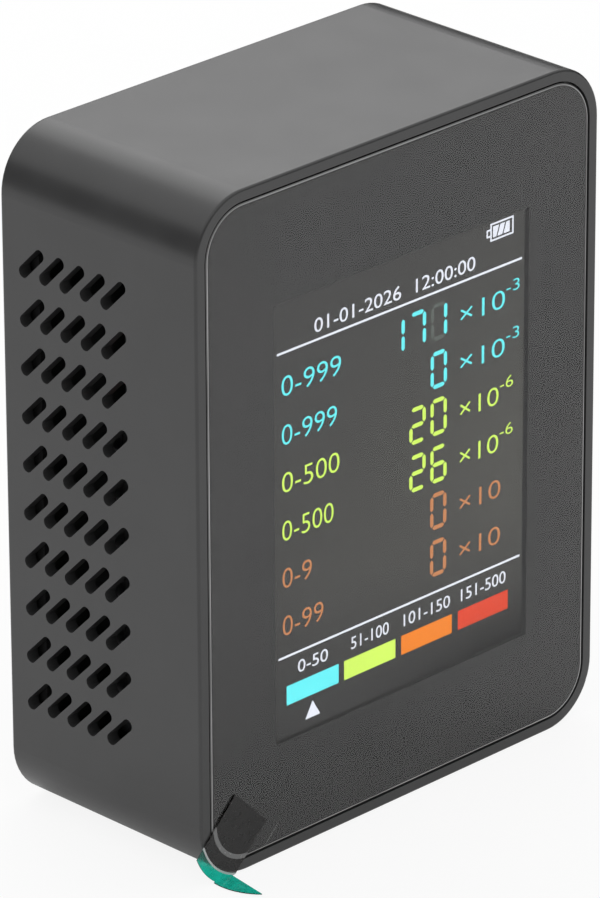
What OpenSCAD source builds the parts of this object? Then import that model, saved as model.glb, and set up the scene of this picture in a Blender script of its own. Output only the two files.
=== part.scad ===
// Air quality monitor: a deep one-piece case with a flush lens, a small colour
// display behind it, slanted air slots on both sides and a screwed rear cover.
// Millimetres. The base rests on z = 0, the lens faces -Y, x = 0 is the middle.

/* [Case] */
// Width of the case
case_w = 77.5; // [72:0.5:96]
// Depth of the case, front to back
case_d = 37.5; // [34:0.5:60]
// Height of the case
case_h = 100; // [96:0.5:130]
// Radius of the four corners seen from the front
corner_r = 8.8; // [8:0.1:12]
// Wall thickness of the case
wall = 2; // [1.4:0.1:2.6]
// Rounding of the front outer edge
front_edge_r = 0.4; // [0.3:0.05:1.2]
// Rounding of the back outer edge
back_edge_r = 0.5; // [0.3:0.05:1]
// Height of the raised foot under the case
foot_h = 0.1; // [0.05:0.01:0.3]
// How far the foot stays inside the flat of the base
foot_in = 4; // [3:0.5:6]
// Corner radius of the foot
foot_r = 5; // [3:0.5:8]

/* [Air slots] */
// Columns of slots on each side wall
slot_cols = 5; // [3:1:5]
// Rows of slots on each side wall
slot_rows = 10; // [6:1:10]
// Distance between columns
slot_col_pitch = 3.953; // [3.4:0.001:4.1]
// Distance between rows
slot_row_pitch = 7.16; // [5.6:0.01:7.6]
// Length of one slot, end to end
slot_len = 6.2; // [4:0.1:7]
// Width of one slot
slot_w = 1.75; // [1:0.05:1.9]
// Slope of the slots, rising to the front
slot_angle = 45; // [30:1:60]
// Depth of the front column's centres behind the front face
slot_front_d = 15.77; // [14:0.01:16.5]
// Height of the slot field's centre over the case's middle
slot_rise = 0.59; // [-2:0.01:2]

/* [Lens] */
// Width of the case's front rim round the lens
rim_w = 1.7; // [1.6:0.05:3]
// Gap between lens and rim
lens_gap = 0.3; // [0.1:0.05:0.4]
// Thickness of the lens
lens_t = 1.13; // [0.7:0.01:1.5]
// How far the lens lies below the front face
lens_recess = 0.02; // [0:0.01:0.4]
// Bevel on the lens's front edge
lens_bevel = 0.13; // [0.1:0.01:0.35]
// Thickness of the lens adhesive
glue_t = 0.2; // [0.1:0.05:0.3]
// Width of the lens adhesive
glue_w = 1.6; // [1:0.1:2]
// Thickness of the ledge that carries the lens
ledge_t = 1.6; // [1.2:0.1:2]

/* [Protective film] */
// Thickness of the film
film_t = 0.1; // [0.05:0.01:0.12]
// How far the film stays inside the lens's edge
film_inset = 0.45; // [0.3:0.05:1]
// Width of the pull tab
tab_w = 8.4; // [6:0.1:9]
// Thickness of the pull tab
tab_t = 0.15; // [0.1:0.01:0.25]
// Start of the tab, in from the corner's centre
tab_start = 0.65; // [0:0.05:2]
// How far the tab reaches past the case's corner
tab_past = 1.8; // [1:0.1:2.4]
// How far the tab's loose end lies out in front of the case
tab_out = 7.2; // [5:0.1:9]
// Radius of the loose end's outer edge
tab_end_r = 8.2; // [7.6:0.1:9]
// Taper of the loose end's inner edge
tab_taper = 8.6; // [4:0.1:12]
// Clearance of the tab over the film
tab_lift = 0.02; // [0.01:0.01:0.1]
// Height of the tab's lowest corner over the base
tab_floor_gap = 0.2; // [0.1:0.05:1]

/* [Display] */
// Width of the picture area
picture_w = 48.6; // [44:0.1:50]
// Height of the picture area
picture_h = 64.8; // [60:0.1:66]
// Width of the display module
display_w = 55; // [52:0.5:57]
// Height of the display module
display_h = 77.7; // [74:0.1:79]
// Picture centre to the right of the case's middle
picture_x = 0.8; // [-1:0.05:1.2]
// Picture centre below the case's middle
picture_drop = 0.85; // [0.5:0.05:1.5]
// Picture centre above the module's centre
picture_up = 2.7; // [2:0.1:3]
// Thickness of the display's glass
display_glass_t = 1.4; // [1:0.1:1.6]
// Thickness of the backlight frame
backlight_t = 1.9; // [1.5:0.1:2.4]
// Clearance of the display in the ledge's window
display_clear = 0.3; // [0.2:0.05:0.5]
// Thickness of the foam pad behind the display
foam_t = 0.35; // [0.3:0.05:0.6]
// Width of the display's ribbon
ribbon_w = 20; // [12:0.5:24]
// Thickness of the ribbon
ribbon_t = 0.15; // [0.1:0.01:0.2]

/* [Main board] */
// Thickness of the circuit board
board_t = 1.6; // [1.2:0.1:2]
// Clearance of the board from the side walls
board_clear = 0.6; // [0.5:0.05:1]
// Clearance of the board from the floor and the roof
board_end_clear = 2.6; // [2.4:0.1:4]
// Radius of the board's bosses
boss_r = 2.4; // [2:0.1:2.6]
// Distance of the bosses from the side walls
boss_inset = 5; // [4.6:0.1:5.2]
// Height of the lower bosses over the base, and of the upper ones below the top
boss_end = 14; // [13:0.5:16]
// Shank diameter of the board screws
board_screw_d = 2; // [1.6:0.1:2.2]
// Length of the board screws under the head
board_screw_len = 4; // [3.4:0.1:4.4]

/* [Rear cover] */
// Thickness of the cover
cover_t = 2.4; // [2:0.1:3]
// How far the cover lies below the back edge
cover_recess = 0.2; // [0.1:0.05:0.5]
// Gap between cover and wall
cover_gap = 0.2; // [0.1:0.05:0.4]
// Radius of the corner posts that take the cover's screws
post_r = 3; // [2.6:0.1:3.2]
// How far the posts sink into the wall
post_sink = 0.3; // [0.2:0.05:0.5]
// Shank diameter of the cover screws
cover_screw_d = 2.4; // [2:0.1:2.6]
// Length of the cover screws under the head
cover_screw_len = 8; // [6:0.5:12]
// Height of the stiffening ribs inside the cover
cover_rib_h = 1.6; // [1:0.1:2.5]

/* [Power button] */
// Height of the button's cap along the wall
button_len = 9; // [7:0.5:11]
// Thickness of the cap, front to back
button_t = 3.2; // [2.6:0.1:3.4]
// How far the cap stands out of the wall
button_out = 0.7; // [0.5:0.05:1.2]
// Travel of the button
button_travel = 0.3; // [0.2:0.05:0.4]
// Gap round the cap
button_gap = 0.15; // [0.1:0.05:0.25]
// Height of the button below the upper board screws
button_drop = 14; // [10:0.5:18]

/* [Charging socket] */
// Width of the metal shell
usb_w = 8.94; // [8.9:0.01:9]
// Thickness of the metal shell
usb_t = 3.16; // [3.1:0.01:3.26]
// Length of the shell
usb_len = 7.3; // [6.5:0.1:8]
// Sheet thickness of the shell
usb_sheet = 0.3; // [0.2:0.05:0.35]
// Height of the socket over the lower board screws
usb_rise = 8; // [7:0.5:12]

/* [Dust sensor] */
// Width of the dust sensor
dust_w = 37; // [35:0.5:37]
// Height of the dust sensor
dust_h = 48; // [46:0.5:48]
// Thickness of the dust sensor
dust_t = 12.5; // [12:0.1:14]
// Gap between the sensor and the slotted wall
dust_wall_gap = 1.5; // [1:0.1:2]
// Gap between the sensor and the lower board screws
dust_gap = 0.7; // [0.4:0.1:2]
// Thickness of the tape under the sensor
dust_tape_t = 0.8; // [0.5:0.1:1.2]
// Diameter of the fan's rotor
rotor_d = 16; // [14:0.5:17]
// Height of the rotor
rotor_h = 5; // [4:0.1:5.2]
// Blades on the rotor
rotor_blades = 11; // [7:1:13]
// Diameter of the fan's shaft
shaft_d = 1.5; // [1:0.1:2]
// Radial running clearance of the rotor on its shaft
shaft_clear = 0.05; // [0.02:0.01:0.08]

/* [Battery] */
// Width of the battery
battery_w = 36; // [30:0.5:40]
// Height of the battery
battery_h = 50; // [40:0.5:54]
// Thickness of the battery
battery_t = 7; // [5:0.1:8]
// Thickness of the tape that holds it on the cover
battery_tape_t = 0.4; // [0.2:0.05:0.8]

/* [Hidden] */
$fn = 64;

cut = 1;
mid_z = case_h / 2;

// Depths behind the front face
lens_back = lens_recess + lens_t;
tab_back = lens_recess - film_t - tab_lift;
ledge_front = lens_back + glue_t;
ledge_back = ledge_front + ledge_t;
glass_front = ledge_front;
backlight_front = glass_front + display_glass_t;
foam_front = backlight_front + backlight_t;
board_front = foam_front + foam_t;
board_back = board_front + board_t;
cover_back = case_d - cover_recess;
cover_front = cover_back - cover_t;

// Inside of the case
room_w = case_w - 2 * wall;
room_h = case_h - 2 * wall;
room_r = corner_r - wall;
inner_x = case_w / 2 - wall;

// Lens and display outlines
seat_w = case_w - 2 * rim_w;
seat_h = case_h - 2 * rim_w;
seat_r = corner_r - rim_w;
lens_w = seat_w - 2 * lens_gap;
lens_h = seat_h - 2 * lens_gap;
lens_r = seat_r - lens_gap;
display_z = mid_z - picture_drop - picture_up;
glass_edge = 1.2;
backlight_r = 0.8;

// Ribbon from the display round the board's lower edge
board_foot = mid_z - (room_h / 2 - board_end_clear);
ribbon_lift = 0.4;
ribbon_lap = 9;
ribbon_loop_r = (board_back + ribbon_lift - foam_front - ribbon_t) / 2;
ribbon_z = board_foot - 0.6;
ribbon_end = board_foot + 4;
connector_edge = 1.5;
connector_h = 4;
connector_t = 1.4;

// Corner posts and board
post_off = room_r - post_r + post_sink;
post_x = case_w / 2 - corner_r + post_off / sqrt(2);
post_z = mid_z - corner_r + post_off / sqrt(2);
board_w = room_w - 2 * board_clear;
board_h = room_h - 2 * board_end_clear;
notch = 0.5;
boss_x = inner_x - boss_inset;
top_boss_z = case_h - boss_end;
screw_clear = 0.05;
hole_clear = 0.2;
board_head_r = 1.7;
board_head_h = 1.2;
cover_head_r = 1.9;
cover_head_h = 1.2;
head_sink = 0.2;
drive_r = 0.9;
drive_depth = 0.7;
drive_w = 0.5;

// Power button and switch, seen along X
switch_h = 3.6;
switch_len = 4;
switch_wide = 6;
button_d = board_back + switch_h / 2;
button_z = top_boss_z - button_drop;
flange = 1;
flange_t = 0.8;
flange_gap = 0.1;
flange_x = inner_x - flange_gap - flange_t;
switch_gap = 0.5;
switch_x = flange_x - button_travel - switch_gap;
plunger_r = 0.9;
plunger_in = 1.6;
button_dome = 0.35;

// Charging socket
usb_d = board_back + usb_t / 2;
usb_z = boss_end + usb_rise;
usb_mouth_in = 0.7;
usb_gap = 0.27;
usb_x = case_w / 2 - usb_mouth_in - usb_len;
usb_back_t = 0.6;
tongue_t = 0.7;
tongue_w = 6.2;
tongue_short = 0.8;

// Dust sensor
dust_d = board_back + dust_tape_t;
dust_x = -inner_x + dust_wall_gap;
dust_z = boss_end + board_head_r + dust_gap;
dust_back = dust_d + dust_t;
lid_t = 0.4;
lid_skirt = 6;
lid_fit = 0.05;
lid_corner = 3;
lid_strip = 1;
base_in = lid_t + lid_fit;
dust_floor = dust_d + 3;
dust_board_t = 1;
dust_board_in = 0.4;
dust_wall = 1.2;
fan_wall = 2;
fan_size = rotor_d + 2 * fan_wall;
fan_floor_t = 1;
fan_lift = 0.4;
fan_air = 0.8;
fan_port = 10;
fan_x = dust_x + base_in + dust_wall + hole_clear + fan_size / 2;
fan_z = dust_z + base_in + dust_wall + hole_clear + fan_size / 2;
rotor_d0 = dust_floor + fan_floor_t + fan_lift;
hub_r = 3.4;
plate_t = 0.8;
blade_t = 0.5;
blade_in = 2.6;
blade_tilt = 35;
laser_r = 3;
laser_len = 9;
laser_in = 8;
laser_drop = 16;
laser_x = dust_x + dust_w - laser_in;
laser_z = dust_z + dust_h - laser_drop;
cradle = 1.2;

// Wires and the header over the dust sensor
wire_r = 0.45;
wire_pitch = 1.25;
wires = 4;
wire_bulge = 20;
wire_out = 5;
wire_rise = 3;
header_size = [8, 3.4, 4];
header_at = [dust_x + 4.5, dust_z + dust_h + 1.9 + header_size[1] / 2];

// Small sensors on the board's back: [x, z]
piece_gap = 0.8;
sensor_dip = 0.6;
co2_side = 10.1;
co2_h = 6.5;
co2_foot = [0.6, 1.2];
co2_at = [dust_x + 16, header_at[1] + header_size[1] + co2_side / 2];
filter_r = 3.6;
filter_t = 0.3;
formaldehyde_side = 16;
formaldehyde_h = 7;
formaldehyde_cap = [1, 2];
formaldehyde_hole_r = 3;
formaldehyde_at = [boss_x - board_head_r - piece_gap - formaldehyde_side / 2, top_boss_z - 4];
tvoc_r = 4.6;
tvoc_h = 6;
tvoc_at = [formaldehyde_at[0] - formaldehyde_side / 2 - piece_gap - tvoc_r, top_boss_z - 1];
co_r = 7;
co_h = 14;
co_neck = [0.5, 2];
co_hole_r = 1.5;
co_at = [dust_x + dust_w + piece_gap + co_r, formaldehyde_at[1] - formaldehyde_side / 2 - 2 * co_r];

// Chips: place from the dust sensor's right edge and the socket, and size
chips_from = [dust_x + dust_w, usb_z];
chips = [
  [[13.5, 14], [10, 10, 1.2]],
  [[24.5, 15], [5, 4, 1]],
  [[7.5, 1], [6, 5, 1.5]],
  [[20.5, 3], [4, 4, 2]]
];

// Battery, its plug and its leads
battery_at = [-2, mid_z - 4];
battery_r = 2;
battery_d = cover_front - battery_tape_t - battery_t;
seal_t = 0.5;
seal_h = 3;
plug_at = [boss_x - 5.6, co_at[1] + 2];
plug_size = [4.5, 6, 5];
plug_lip = 0.6;
plug_sink = 3;
header_floor = 1;
plug_d = board_back + header_floor;
lead_r = 0.6;
lead_gap = 2;
lead_in = 4;
lead_rise = 10;
lead_swing = 16;

function y_at(d) = d - case_d / 2;
function bezier(p, t) = pow(1 - t, 3) * p[0] + 3 * t * pow(1 - t, 2) * p[1]
  + 3 * t * t * (1 - t) * p[2] + pow(t, 3) * p[3];
function slope(p, t) = 3 * pow(1 - t, 2) * (p[1] - p[0]) + 6 * t * (1 - t) * (p[2] - p[1])
  + 3 * t * t * (p[3] - p[2]);
function unit(v) = v / norm(v);

// Shapes that repeat

// A flat outline in x and z, drawn solid between two depths
module between(d0, d1) {
  translate([0, y_at(d1), 0])
    rotate([90, 0, 0])
      linear_extrude(d1 - d0)
        children();
}

// A flat outline in depth and z, drawn solid between two x
module across(x0, x1) {
  translate([x0, -case_d / 2, 0])
    rotate([90, 0, 90])
      linear_extrude(x1 - x0)
        children();
}

module round_rect(w, h, r) {
  square([w - 2 * r, h], center = true);
  square([w, h - 2 * r], center = true);
  for (x = [-1, 1], z = [-1, 1])
    translate([x * (w / 2 - r), z * (h / 2 - r)])
      circle(r);
}

module stadium(len, t) {
  square([len - t, t], center = true);
  for (s = [-1, 1])
    translate([s * (len - t) / 2, 0])
      circle(t / 2);
}

module middle() {
  translate([0, mid_z])
    children();
}

// Half of a lying slab's section, with its upper edge rolled over
module roll_half(w, e) {
  square([w - e, e]);
  intersection() {
    translate([w - e, 0])
      circle(e);
    translate([w - e, 0])
      square([e, e]);
  }
}

// A round-cornered slab of height e, its upper edge rolled over with radius e
module rolled_slab(w, h, r, e) {
  for (x = [-1, 1], z = [-1, 1])
    translate([x * (w / 2 - r), z * (h / 2 - r), 0])
      rotate_extrude()
        roll_half(r, e);
  for (turn = [0, 180]) {
    rotate([0, 0, turn])
      translate([0, h / 2 - r, 0])
        rotate([90, 0, 0])
          linear_extrude(h - 2 * r)
            roll_half(w / 2, e);
    rotate([0, 0, turn + 90])
      translate([0, w / 2 - r, 0])
        rotate([90, 0, 0])
          linear_extrude(w - 2 * r)
            roll_half(h / 2, e);
  }
}

module case_block() {
  between(front_edge_r, case_d - back_edge_r)
    middle()
      round_rect(case_w, case_h, corner_r);
  translate([0, y_at(front_edge_r), mid_z])
    rotate([90, 0, 0])
      rolled_slab(case_w, case_h, corner_r, front_edge_r);
  translate([0, y_at(case_d - back_edge_r), mid_z])
    rotate([-90, 0, 0])
      rolled_slab(case_w, case_h, corner_r, back_edge_r);
}

// What is cut away round the raised foot
module foot_relief() {
  difference() {
    translate([-case_w, -case_d, -cut])
      cube([2 * case_w, 2 * case_d, cut + foot_h]);
    translate([0, 0, -2 * cut])
      linear_extrude(4 * cut)
        round_rect(case_w - 2 * (corner_r + foot_in), case_d - 2 * foot_in, foot_r);
  }
}

module at_posts() {
  for (x = [-1, 1], z = [-1, 1])
    translate([x * post_x, mid_z + z * post_z])
      children();
}

module at_bosses() {
  for (x = [-1, 1], z = [-1, 1])
    translate([x * boss_x, mid_z + z * (mid_z - boss_end)])
      children();
}

module display_spot() {
  translate([picture_x, display_z])
    children();
}

module air_slots() {
  first_z = mid_z + slot_rise - slot_row_pitch * (slot_rows - 1) / 2;
  for (i = [0 : slot_cols - 1], j = [0 : slot_rows - 1])
    translate([slot_front_d + i * slot_col_pitch, first_z + j * slot_row_pitch])
      rotate(-slot_angle)
        stadium(slot_len, slot_w);
}

// A box on the board's back, placed by its centre: at = [x, z]
module on_board(at, size, lift = 0) {
  between(board_back + lift, board_back + lift + size[2])
    translate(at)
      square([size[0], size[1]], center = true);
}

// A round piece on the board's back
module can_on_board(at, r, d0, d1) {
  between(board_back + d0, board_back + d1)
    translate(at)
      circle(r);
}

// A wire along a curve with four handles
module wire(p, r) {
  rings = 14;
  sides = 8;
  aside = [1, 0.02, 0.01];
  points = [
    for (i = [0 : rings])
      let (
        t = i / rings,
        along = unit(slope(p, t)),
        u = unit(cross(along, aside)),
        v = cross(along, u)
      )
      for (k = [0 : sides - 1])
        bezier(p, t) + r * (cos(360 * k / sides) * u + sin(360 * k / sides) * v)
  ];
  skin = [
    for (i = [0 : rings - 1], k = [0 : sides - 1])
      let (
        a = i * sides + k,
        b = i * sides + (k + 1) % sides
      )
      for (f = [[a, a + sides, b], [b, a + sides, b + sides]])
        f
  ];
  polyhedron(
    points,
    concat(
      skin,
      [[for (k = [0 : sides - 1]) k]],
      [[for (k = [sides - 1 : -1 : 0]) rings * sides + k]]
    ),
    convexity = 4
  );
}

// Pieces

module housing() {
  color("dimgray")
    difference() {
      union() {
        difference() {
          case_block();
          between(ledge_back, case_d + cut)
            middle()
              round_rect(room_w, room_h, room_r);
        }
        between(ledge_back, cover_front)
          at_posts()
            circle(post_r);
        between(ledge_back, board_front)
          at_bosses()
            circle(boss_r);
      }
      between(-cut, ledge_front)
        middle()
          round_rect(seat_w, seat_h, seat_r);
      between(-cut, ledge_back + cut)
        display_spot()
          square([display_w + 2 * display_clear, display_h + 2 * display_clear], center = true);
      between(cover_front - cover_screw_len, cover_front + cut)
        at_posts()
          circle(cover_screw_d / 2 + screw_clear);
      between(board_back - board_screw_len - hole_clear, board_front + cut)
        at_bosses()
          circle(board_screw_d / 2 + screw_clear);
      foot_relief();
      across(-case_w, case_w)
        air_slots();
      across(inner_x - cut, case_w)
        translate([usb_d, usb_z])
          rotate(90)
            stadium(usb_w + 2 * usb_gap, usb_t + 2 * usb_gap);
      across(inner_x - cut, case_w)
        translate([button_d, button_z])
          rotate(90)
            stadium(button_len + 2 * button_gap, button_t + 2 * button_gap);
    }
}

module rear_cover() {
  rib_in = 1;
  rib_w = 1.2;
  rib_free = 2;
  color("dimgray")
    difference() {
      union() {
        between(cover_front, cover_back)
          middle()
            round_rect(room_w - 2 * cover_gap, room_h - 2 * cover_gap, room_r - cover_gap);
        between(cover_front - cover_rib_h, cover_front)
          middle()
            for (s = [-1, 1]) {
              translate([s * (room_w / 2 - rib_in - rib_w / 2), 0])
                square([rib_w, 2 * (post_z - post_r - rib_free)], center = true);
              translate([0, s * (room_h / 2 - rib_in - rib_w / 2)])
                square([2 * (post_x - post_r - rib_free), rib_w], center = true);
            }
      }
      between(cover_front - cut, cover_back + cut)
        at_posts()
          circle(cover_screw_d / 2 + hole_clear);
      between(cover_back - cover_head_h - head_sink, cover_back + cut)
        at_posts()
          circle(cover_head_r + hole_clear);
    }
}

module cover_screws() {
  seat = cover_back - cover_head_h - head_sink;
  color("silver")
    difference() {
      union() {
        between(seat, seat + cover_head_h)
          at_posts()
            circle(cover_head_r);
        between(seat - cover_screw_len, seat)
          at_posts()
            circle(cover_screw_d / 2);
      }
      between(seat + cover_head_h - drive_depth, seat + cover_head_h + cut)
        at_posts()
          for (turn = [0, 90])
            rotate(turn)
              square([2 * drive_r, drive_w], center = true);
    }
}

module front_lens() {
  color("black")
    union() {
      between(lens_recess + lens_bevel, lens_back)
        middle()
          round_rect(lens_w, lens_h, lens_r);
      translate([0, y_at(lens_recess + lens_bevel), mid_z])
        rotate([90, 0, 0])
          rolled_slab(lens_w, lens_h, lens_r, lens_bevel);
    }
}

module lens_adhesive() {
  color("black")
    between(lens_back, ledge_front)
      middle()
        difference() {
          round_rect(lens_w, lens_h, lens_r);
          round_rect(lens_w - 2 * glue_w, lens_h - 2 * glue_w, lens_r - glue_w);
        }
}

module screen_film() {
  color("lightgray")
    between(lens_recess - film_t, lens_recess)
      middle()
        round_rect(lens_w - 2 * film_inset, lens_h - 2 * film_inset, lens_r - film_inset);
}

// A strip stuck to the film, past the lower left corner down to the floor, its loose end folded forward
module film_pull_tab() {
  end_r = corner_r + tab_past;
  floor_z = tab_floor_gap - corner_r;
  end_in = 3.3;
  end_at = [1.5, -1.45];
  color("mediumaquamarine")
    translate([-case_w / 2 + corner_r, 0, corner_r])
      union() {
        between(tab_back - tab_t, tab_back)
          intersection() {
            rotate(225)
              translate([-tab_start, -tab_w / 2])
                square([tab_start + end_r, tab_w]);
            circle(end_r);
            translate([-end_r, floor_z])
              square(2 * end_r);
          }
        translate([0, y_at(0), floor_z])
          linear_extrude(tab_t)
            intersection() {
              translate(end_at)
                circle(tab_end_r);
              translate([-end_in, 0])
                rotate(-tab_taper)
                  translate([-end_r, -tab_out - cut])
                    square([end_r, tab_out + cut]);
              translate([-end_r, -tab_out])
                square([end_r, tab_out + tab_back]);
            }
      }
}

module display_glass() {
  color("darkslategray")
    union() {
      between(glass_front, glass_front + display_glass_t / 2)
        display_spot()
          translate([0, picture_up])
            square([picture_w + 2 * glass_edge, picture_h + 2 * glass_edge], center = true);
      between(glass_front + display_glass_t / 2, backlight_front)
        display_spot()
          square([display_w, display_h], center = true);
    }
}

module display_backlight() {
  color("gainsboro")
    between(backlight_front, foam_front)
      display_spot()
        round_rect(display_w, display_h, backlight_r);
}

module display_foam() {
  foam_in = 4;
  foam_low = 12;
  color("darkgray")
    between(foam_front, board_front)
      display_spot()
        translate([0, foam_low / 2])
          square([display_w - 2 * foam_in, display_h - 2 * foam_in - foam_low], center = true);
}

// From the display's back round the lower edge of the board to its connector
module display_ribbon() {
  loop_d = foam_front + ribbon_t + ribbon_loop_r;
  out_r = ribbon_loop_r + ribbon_t;
  color("darkorange")
    across(picture_x - ribbon_w / 2, picture_x + ribbon_w / 2)
      union() {
        translate([foam_front, ribbon_z])
          square([ribbon_t, display_z - display_h / 2 + ribbon_lap - ribbon_z]);
        intersection() {
          translate([loop_d, ribbon_z])
            difference() {
              circle(out_r);
              circle(ribbon_loop_r);
            }
          translate([loop_d - out_r, ribbon_z - out_r])
            square([2 * out_r, out_r]);
        }
        translate([loop_d + ribbon_loop_r, ribbon_z])
          square([ribbon_t, ribbon_end - ribbon_z]);
      }
}

module ribbon_connector() {
  color("ivory")
    between(board_back, board_back + connector_t)
      translate([picture_x, ribbon_end + connector_h / 2])
        square([ribbon_w + 2 * connector_edge, connector_h], center = true);
}

module main_board() {
  corner = [board_w / 2 - post_x + post_r + notch, board_h / 2 - post_z + post_r + notch];
  button_notch = [board_w / 2 - switch_x + hole_clear, button_len + 2 * flange + 2 * notch];
  color("darkgreen")
    between(board_front, board_back)
      difference() {
        middle()
          square([board_w, board_h], center = true);
        middle()
          for (x = [-1, 1], z = [-1, 1])
            translate([x * board_w / 2, z * board_h / 2])
              square([2 * corner[0], 2 * corner[1]], center = true);
        translate([board_w / 2, button_z])
          square([2 * button_notch[0], button_notch[1]], center = true);
        at_bosses()
          circle(board_screw_d / 2 + hole_clear);
      }
}

module board_screws() {
  color("silver")
    difference() {
      union() {
        between(board_back, board_back + board_head_h)
          at_bosses()
            circle(board_head_r);
        between(board_back - board_screw_len, board_back)
          at_bosses()
            circle(board_screw_d / 2);
      }
      between(board_back + board_head_h - drive_depth, board_back + board_head_h + cut)
        at_bosses()
          for (turn = [0, 90])
            rotate(turn)
              square([2 * drive_r, drive_w], center = true);
    }
}

module board_chips() {
  color("black")
    for (chip = chips)
      on_board(chips_from + chip[0], chip[1]);
}

module usb_socket() {
  color("silver")
    difference() {
      across(usb_x, usb_x + usb_len)
        translate([usb_d, usb_z])
          rotate(90)
            stadium(usb_w, usb_t);
      across(usb_x + usb_back_t, usb_x + usb_len + cut)
        translate([usb_d, usb_z])
          rotate(90)
            stadium(usb_w - 2 * usb_sheet, usb_t - 2 * usb_sheet);
    }
}

module usb_tongue() {
  color("black")
    across(usb_x + usb_back_t, usb_x + usb_len - tongue_short)
      translate([usb_d, usb_z])
        square([tongue_t, tongue_w], center = true);
}

module power_switch() {
  bore_r = plunger_r + screw_clear;
  color("dimgray")
    difference() {
      across(switch_x - switch_len, switch_x)
        translate([button_d, button_z])
          square([switch_h, switch_wide], center = true);
      across(switch_x - plunger_in - button_travel - hole_clear, switch_x + cut)
        translate([button_d, button_z])
          circle(bore_r);
    }
}

module switch_plunger() {
  color("white")
    across(switch_x - plunger_in, flange_x)
      translate([button_d, button_z])
        circle(plunger_r);
}

module power_button() {
  color("black")
    union() {
      across(flange_x, flange_x + flange_t)
        translate([button_d, button_z])
          rotate(90)
            stadium(button_len + 2 * flange, button_t + 2 * flange);
      across(flange_x, case_w / 2 + button_out - button_dome)
        translate([button_d, button_z])
          rotate(90)
            stadium(button_len, button_t);
      across(flange_x, case_w / 2 + button_out)
        translate([button_d, button_z])
          rotate(90)
            stadium(button_len - 2 * button_dome, button_t - 2 * button_dome);
    }
}

module dust_rect(inset) {
  translate([dust_x + inset, dust_z + inset])
    square([dust_w - 2 * inset, dust_h - 2 * inset]);
}

module dust_sensor_base() {
  inlet_z = dust_z + dust_h - 16;
  inlet_pitch = 2;
  inlet = [1, 8];
  color("black")
    difference() {
      union() {
        difference() {
          between(dust_d, dust_back - lid_t)
            dust_rect(base_in);
          between(dust_floor, dust_back)
            dust_rect(base_in + dust_wall);
        }
        between(dust_floor - cut, dust_floor + laser_r)
          translate([laser_x, laser_z + laser_len / 2])
            square([2 * (laser_r + cradle), laser_len], center = true);
      }
      between(dust_d - cut, dust_d + dust_board_t + dust_board_in)
        dust_rect(base_in + dust_wall);
      translate([laser_x, y_at(dust_floor + laser_r), laser_z])
        cylinder(r = laser_r + screw_clear, h = laser_len);
      across(dust_x - cut, dust_x + base_in + dust_wall + cut)
        translate([rotor_d0, fan_z - fan_port / 2])
          square([rotor_h, fan_port]);
      across(dust_x - cut, dust_x + base_in + dust_wall + cut)
        for (i = [0 : 2])
          translate([dust_floor + inlet[0] + i * inlet_pitch, inlet_z])
            square(inlet);
    }
}

module dust_sensor_lid() {
  color("silver")
    difference() {
      between(dust_back - lid_skirt, dust_back)
        dust_rect(0);
      between(dust_back - lid_skirt - cut, dust_back - lid_t)
        dust_rect(lid_t);
      across(dust_x - cut, dust_x + lid_t + cut)
        translate([dust_back - lid_skirt - cut, dust_z + lid_corner])
          square([lid_skirt + cut - lid_t - lid_strip, dust_h - 2 * lid_corner]);
    }
}

module dust_sensor_board() {
  color("darkgreen")
    between(dust_d + dust_board_in, dust_d + dust_board_in + dust_board_t)
      dust_rect(base_in + dust_wall + lid_fit);
}

module dust_sensor_tape() {
  tape_in = 5;
  color("white")
    between(board_back, dust_d)
      difference() {
        dust_rect(base_in);
        dust_rect(base_in + tape_in);
      }
}

module laser_diode() {
  lip = 0.8;
  color("goldenrod")
    translate([laser_x, y_at(dust_floor + laser_r), laser_z])
      difference() {
        union() {
          cylinder(r = laser_r, h = laser_len);
          translate([0, 0, -lip])
            cylinder(r = laser_r - lip, h = lip);
        }
        translate([0, 0, -lip - cut])
          cylinder(r = lip, h = laser_r + cut);
      }
}

module fan_frame() {
  chamber_r = rotor_d / 2 + fan_air;
  frame_h = fan_floor_t + rotor_h + 2 * fan_lift;
  color("black")
    difference() {
      between(dust_floor, dust_floor + frame_h)
        translate([fan_x, fan_z])
          round_rect(fan_size, fan_size, 1);
      between(dust_floor + fan_floor_t, dust_floor + frame_h + cut)
        translate([fan_x, fan_z])
          circle(chamber_r);
      between(dust_floor + fan_floor_t, dust_floor + frame_h + cut)
        translate([fan_x - fan_size, fan_z - fan_port / 2])
          square([fan_size, fan_port]);
      between(dust_floor - cut, dust_floor + fan_floor_t + cut)
        translate([fan_x, fan_z])
          circle(shaft_d / 2 + screw_clear / 2);
    }
}

module fan_shaft() {
  color("silver")
    between(dust_floor, rotor_d0 + rotor_h)
      translate([fan_x, fan_z])
        circle(shaft_d / 2);
}

module fan_rotor() {
  color("black")
    difference() {
      union() {
        between(rotor_d0, rotor_d0 + plate_t)
          translate([fan_x, fan_z])
            circle(rotor_d / 2);
        between(rotor_d0, rotor_d0 + rotor_h)
          translate([fan_x, fan_z])
            circle(hub_r);
        between(rotor_d0, rotor_d0 + rotor_h)
          translate([fan_x, fan_z])
            for (i = [0 : rotor_blades - 1])
              rotate(360 * i / rotor_blades)
                translate([(rotor_d - blade_in) / 2 - fan_lift, 0])
                  rotate(blade_tilt)
                    square([blade_in, blade_t], center = true);
      }
      between(rotor_d0 - cut, rotor_d0 + rotor_h + cut)
        translate([fan_x, fan_z])
          circle(shaft_d / 2 + shaft_clear);
    }
}

module sensor_header() {
  color("ivory")
    on_board(header_at, header_size);
}

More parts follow.
